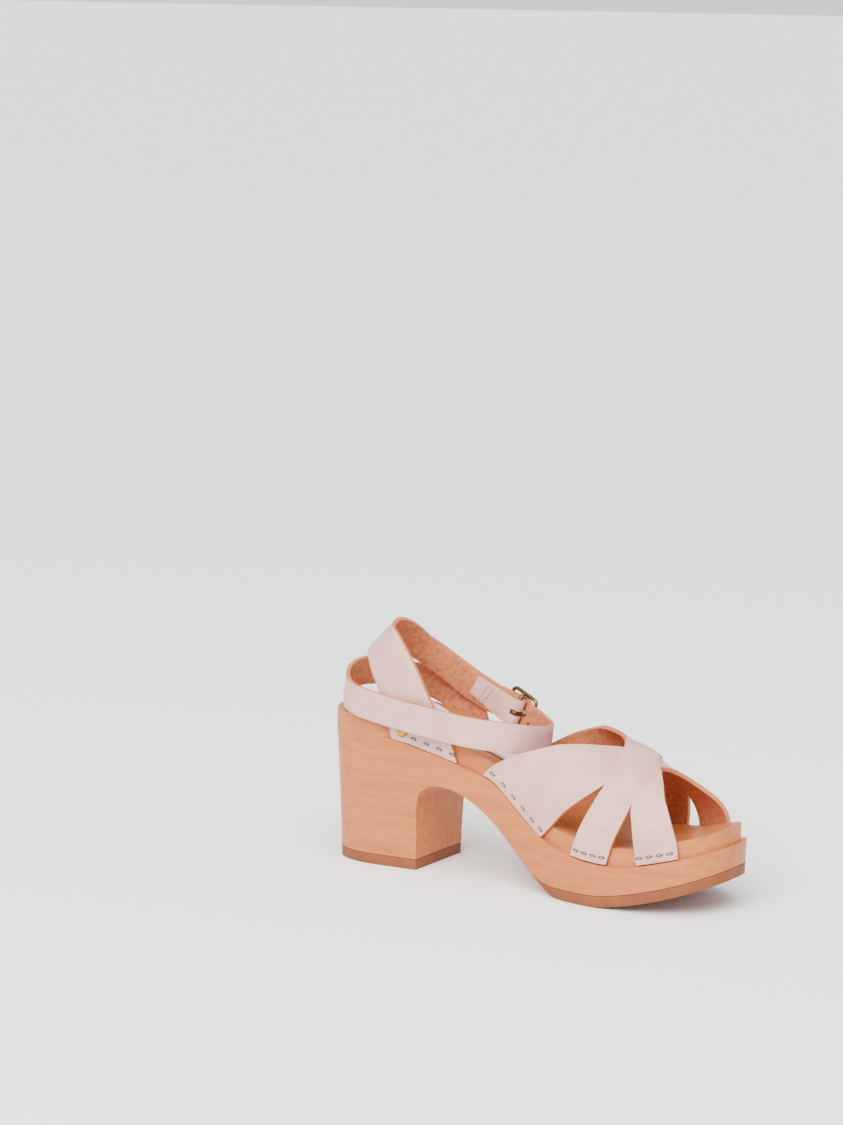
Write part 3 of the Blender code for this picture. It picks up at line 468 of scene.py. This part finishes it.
class SANDAL_OT_ankle(bpy.types.Operator):
    """Makes the two ankle straps"""

    bl_idname = "sandal.ankle"
    bl_label = "Ankle straps"

    def execute(self, context):
        pairs = (
            ("ankle_strap_buckle_side", "upper_ankle_leather"),
            ("ankle_strap_tip_side", "lower_ankle_leather"),
        )
        for node, name in pairs:
            item = merged_copy(node, name)
            part_sides(item, ankle_centre)
            soften(item, settings().leather_edge, angle=50.0, material=CUT_EDGE)
            seat(item, "strap_leather", node)
        return {"FINISHED"}


class SANDAL_OT_buckle(bpy.types.Operator):
    """Makes the antique brass frame and prong"""

    bl_idname = "sandal.buckle"
    bl_label = "Buckle"

    def execute(self, context):
        material = plain_material("brass_antique", settings().brass, roughness=0.32, metallic=1.0)
        for node, name in (("buckle_frame", "brass_frame"), ("buckle_prong", "brass_prong")):
            item = merged_copy(node, name)
            item.data.materials.append(material)
            item.data.shade_smooth()
            item.data.set_sharp_from_angle(angle=math.radians(BUCKLE_SHARP_ANGLE))
            seat(item, "buckle_brass", node)
        return {"FINISHED"}


class SANDAL_OT_studs(bpy.types.Operator):
    """Makes the plain domed studs on the ankle straps' tabs"""

    bl_idname = "sandal.studs"
    bl_label = "Studs"

    def execute(self, context):
        material = plain_material("stud_gold", settings().gold, roughness=0.22, metallic=1.0)
        for node, name in (("stud_medial", "gold_stud_inner"), ("stud_lateral", "gold_stud_outer")):
            low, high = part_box(node)
            middle = (low + high) / 2
            inward = 1 if middle.y < 0 else -1
            base = low.y if inward < 0 else high.y
            clear_selection()
            bpy.ops.mesh.primitive_uv_sphere_add(segments=32, ring_count=16, radius=1.0)
            item = bpy.context.object
            item.name = name
            radius = (high.x - low.x) / 2 * STUD_SHARE
            reach = (high.y - low.y) * STUD_SHARE
            item.data.transform(Matrix.Diagonal((radius, reach, radius, 1.0)))
            item.data.transform(Matrix.Translation((middle.x, base, middle.z)))
            bpy.ops.object.mode_set(mode="EDIT")
            bpy.ops.mesh.select_all(action="SELECT")
            bpy.ops.mesh.bisect(
                plane_co=(0, base, 0), plane_no=(0, inward, 0), clear_outer=True, use_fill=True
            )
            bpy.ops.object.mode_set(mode="OBJECT")
            item.data.materials.append(material)
            item.data.shade_smooth()
            item.data.set_sharp_from_angle(angle=math.radians(SHARP_ANGLE))
            seat(item, "stud_brass", node)
        return {"FINISHED"}


def surface_of(name):
    """A tree of a piece's mesh for finding places on it."""
    item = bpy.data.objects[name]
    vertices = [vertex.co for vertex in item.data.vertices]
    return BVHTree.FromPolygons(vertices, [tuple(face.vertices) for face in item.data.polygons])


def lowest(surface, x, side):
    """The height of a strap's lower edge at x on one side of the shoe."""
    found = []
    for step in range(EDGE_SEARCH_STEPS):
        y = side * (EDGE_SEARCH_START + step * EDGE_SEARCH_STEP)
        hit = surface.ray_cast(Vector((x, y, BELOW_FLOOR)), Vector((0.0, 0.0, 1.0)))[0]
        if hit is not None:
            found.append(hit.z)
    return min(found) if found else None


def add_bead(size, place, along, normal):
    """Adds a flat oval bead with its length along one direction and its flat side to another."""
    across = normal.cross(along).normalized()
    along = across.cross(normal).normalized()
    turn = Matrix((along, across, normal)).transposed().to_4x4()
    bpy.ops.mesh.primitive_uv_sphere_add(segments=16, ring_count=10, radius=1.0)
    item = bpy.context.object
    item.data.transform(Matrix.Diagonal((size[0] / 2, size[1] / 2, size[2] / 2, 1.0)))
    item.data.transform(Matrix.Translation(place) @ turn)
    return item


def join_beads(items, name, material):
    """Joins beads to one shaded piece."""
    clear_selection()
    for item in items:
        item.select_set(True)
    bpy.context.view_layer.objects.active = items[0]
    bpy.ops.object.join()
    joined = bpy.context.object
    joined.name = name
    joined.data.materials.append(material)
    joined.data.shade_smooth()
    return joined


class SANDAL_OT_staples(bpy.types.Operator):
    """Makes the rows of staples that hold the straps in the sole's rebate"""

    bl_idname = "sandal.staples"
    bl_label = "Staples"

    def execute(self, context):
        looks = settings()
        clear_selection()
        crowns = []
        dent_shades = []
        for piece, side, rear, front, count in STAPLE_ROWS:
            surface = surface_of(piece)
            for k in range(count):
                x = rear + (front - rear) * k / (count - 1)
                ends = [lowest(surface, x + step, side) for step in (-SLOPE_STEP, 0.0, SLOPE_STEP)]
                if None in ends:
                    raise RuntimeError(f"no lower edge for a staple of {piece} at {x}")
                along = Vector((2 * SLOPE_STEP, 0.0, ends[2] - ends[0])).normalized()
                rise = looks.staple_height
                start = Vector((x - along.z * rise, side * BESIDE_SHOE, ends[1] + along.x * rise))
                hit, normal, _, _ = surface.ray_cast(start, Vector((0.0, -side, 0.0)))
                if hit is None:
                    raise RuntimeError(f"no leather for a staple of {piece} at {x}")
                length, width = looks.staple_length, looks.staple_width
                height = width * DENT_RISE
                crown = (length * CROWN_SHARE, width * CROWN_SHARE, height * CROWN_RISE)
                crowns.append(add_bead(crown, hit, along, normal))
                # Each dent is a dark flat oval around the crown: painted shade where the leather is pressed
                # in
                dent_shades.append(add_bead((length, width, height), hit, along, normal))
        steel = plain_material("staple_steel", looks.staple_steel, roughness=0.45, metallic=0.3)
        shade = plain_material("staple_shade", looks.staple_shade, roughness=0.7)
        seat(join_beads(crowns, "staple_crowns", steel))
        seat(join_beads(dent_shades, "staple_dents", shade))
        return {"FINISHED"}


class SANDAL_OT_stitches(bpy.types.Operator):
    """Makes the two rows of stitches across the buckle flap"""

    bl_idname = "sandal.stitches"
    bl_label = "Stitches"

    def execute(self, context):
        looks = settings()
        clear_selection()
        surface = surface_of("upper_ankle_leather")
        items = []
        for start, end in SEAMS:
            along = Vector((end[0] - start[0], 0.0, end[1] - start[1])).normalized()
            for k in range(looks.stitches):
                share = k / (looks.stitches - 1)
                x = start[0] + (end[0] - start[0]) * share
                z = start[1] + (end[1] - start[1]) * share
                hit, normal, _, _ = surface.ray_cast(Vector((x, 0.0, z)), Vector((0.0, 1.0, 0.0)))
                if hit is None:
                    raise RuntimeError(f"no leather for a stitch at {x}, {z}")
                size = (looks.stitch_length, looks.stitch_wire, looks.stitch_wire)
                items.append(add_bead(size, hit, along, normal))
        thread = plain_material("thread_tan", looks.thread, roughness=0.8)
        seat(join_beads(items, "stitches", thread))
        return {"FINISHED"}


class SANDAL_OT_pinholes(bpy.types.Operator):
    """Makes the pinholes in the lower ankle strap as dark plugs of painted shade"""

    bl_idname = "sandal.pinholes"
    bl_label = "Pinholes"

    def execute(self, context):
        clear_selection()
        surface = surface_of("lower_ankle_leather")
        items = []
        for place in PINHOLES:
            near, normal, _, _ = surface.find_nearest(Vector(place))
            beyond = surface.ray_cast(near - normal * PINHOLE_STAND, -normal)[0]
            depth = (beyond - near).length + PINHOLE_STAND
            middle = (near + beyond) / 2
            # Each pinhole is a dark cylinder through the strap: painted shade filling the hole
            bpy.ops.mesh.primitive_cylinder_add(vertices=20, radius=settings().pinhole / 2, depth=depth)
            item = bpy.context.object
            item.data.transform(normal.to_track_quat("Z", "Y").to_matrix().to_4x4())
            item.data.transform(Matrix.Translation(middle))
            items.append(item)
        shade = plain_material("hole_shade", settings().hole_shade, roughness=0.9)
        item = join_beads(items, "pinholes", shade)
        item.data.set_sharp_from_angle(angle=math.radians(PINHOLE_SHARP_ANGLE))
        seat(item)
        return {"FINISHED"}


def camera_axes():
    """The camera's right, up and forward directions."""
    turn = math.radians(CAMERA_TURN)
    pitch = math.radians(CAMERA_PITCH)
    roll = math.radians(CAMERA_ROLL)
    right = Vector((math.cos(turn), math.sin(turn), 0.0))
    away = Vector((-math.sin(turn), math.cos(turn), 0.0))
    rise = Vector((0.0, 0.0, 1.0))
    forward = away * math.cos(pitch) - rise * math.sin(pitch)
    up = away * math.sin(pitch) + rise * math.cos(pitch)
    rolled_right = right * math.cos(roll) + up * math.sin(roll)
    rolled_up = up * math.cos(roll) - right * math.sin(roll)
    return rolled_right, rolled_up, forward


def add_camera():
    """The camera at the photograph's place."""
    right, up, forward = camera_axes()
    across = (ORIGIN_PIXEL[0] - IMAGE_SIZE[0] / 2) / FOCAL_PIXELS
    down = (ORIGIN_PIXEL[1] - IMAGE_SIZE[1] / 2) / FOCAL_PIXELS
    ray = (forward + right * across - up * down).normalized()
    clear_selection()
    bpy.ops.object.camera_add()
    camera = bpy.context.object
    camera.name = "camera"
    turn = Matrix((right, up, -forward)).transposed().to_4x4()
    camera.matrix_world = Matrix.Translation(ray * -CAMERA_DISTANCE) @ turn
    camera.data.sensor_width = CAMERA_SENSOR
    camera.data.lens = CAMERA_SENSOR * FOCAL_PIXELS / max(IMAGE_SIZE)
    camera.data.clip_start, camera.data.clip_end = CAMERA_REACH
    bpy.context.scene.camera = camera


def add_light(kind, name, place, power):
    """A soft light that faces the shoe."""
    clear_selection()
    bpy.ops.object.light_add(type=kind, location=place)
    light = bpy.context.object
    light.name = name
    light.data.energy = power
    light.rotation_mode = "QUATERNION"
    light.rotation_quaternion = (Vector(STAGE_MIDDLE) - Vector(place)).to_track_quat("-Z", "Y")
    return light


class SANDAL_OT_stage(bpy.types.Operator):
    """Makes the pale floor, the soft lights and the camera"""

    bl_idname = "sandal.stage"
    bl_label = "Stage"

    def execute(self, context):
        reach = settings().floor_reach
        clear_selection()
        bpy.ops.mesh.primitive_plane_add(size=reach, location=(0.0, 0.0, -FLOOR_DROP))
        floor = context.object
        floor.name = "floor"
        floor.data.materials.append(plain_material("floor_pale", FLOOR_COLOUR, roughness=0.9))
        key = add_light("AREA", "key", KEY_PLACE, KEY_POWER)
        key.data.size = KEY_SIZE
        sky = add_light("SUN", "sky", SKY_PLACE, SKY_STRENGTH)
        sky.data.angle = math.radians(SKY_SPREAD)
        world = bpy.data.worlds.new("studio")
        context.scene.world = world
        world.use_nodes = True
        background = world.node_tree.nodes["Background"]
        background.inputs["Color"].default_value = (1.0, 1.0, 1.0, 1.0)
        background.inputs["Strength"].default_value = WORLD_STRENGTH
        add_camera()
        return {"FINISHED"}


class SANDAL_PT_panel(bpy.types.Panel):
    """Buttons for each piece and the sizes of the small work"""

    bl_label = "Sandal"
    bl_idname = "SANDAL_PT_panel"
    bl_space_type = "VIEW_3D"
    bl_region_type = "UI"
    bl_category = "Sandal"

    def draw(self, context):
        layout = self.layout
        for operator in OPERATORS:
            layout.operator(operator.bl_idname)
        for name in SandalSettings.__annotations__:
            layout.prop(context.scene.sandal, name)


OPERATORS = (
    SANDAL_OT_wood,
    SANDAL_OT_rubbers,
    SANDAL_OT_pad,
    SANDAL_OT_vamp,
    SANDAL_OT_ankle,
    SANDAL_OT_buckle,
    SANDAL_OT_studs,
    SANDAL_OT_staples,
    SANDAL_OT_stitches,
    SANDAL_OT_pinholes,
    SANDAL_OT_stage,
)


def register():
    """Adds the settings, the operators and the panel."""
    for kind in (SandalSettings, *OPERATORS, SANDAL_PT_panel):
        bpy.utils.register_class(kind)
    bpy.types.Scene.sandal = bpy.props.PointerProperty(type=SandalSettings)


def unregister():
    """Takes them away again."""
    del bpy.types.Scene.sandal
    for kind in reversed((SandalSettings, *OPERATORS, SANDAL_PT_panel)):
        bpy.utils.unregister_class(kind)


def main():
    """Registers the add-on and makes every piece."""
    register()
    bpy.ops.sandal.wood()
    bpy.ops.sandal.rubbers()
    bpy.ops.sandal.pad()
    bpy.ops.sandal.vamp()
    bpy.ops.sandal.ankle()
    bpy.ops.sandal.buckle()
    bpy.ops.sandal.studs()
    bpy.ops.sandal.staples()
    bpy.ops.sandal.stitches()
    bpy.ops.sandal.pinholes()
    bpy.ops.sandal.stage()
    clear_selection()


if __name__ == "__main__":
    main()
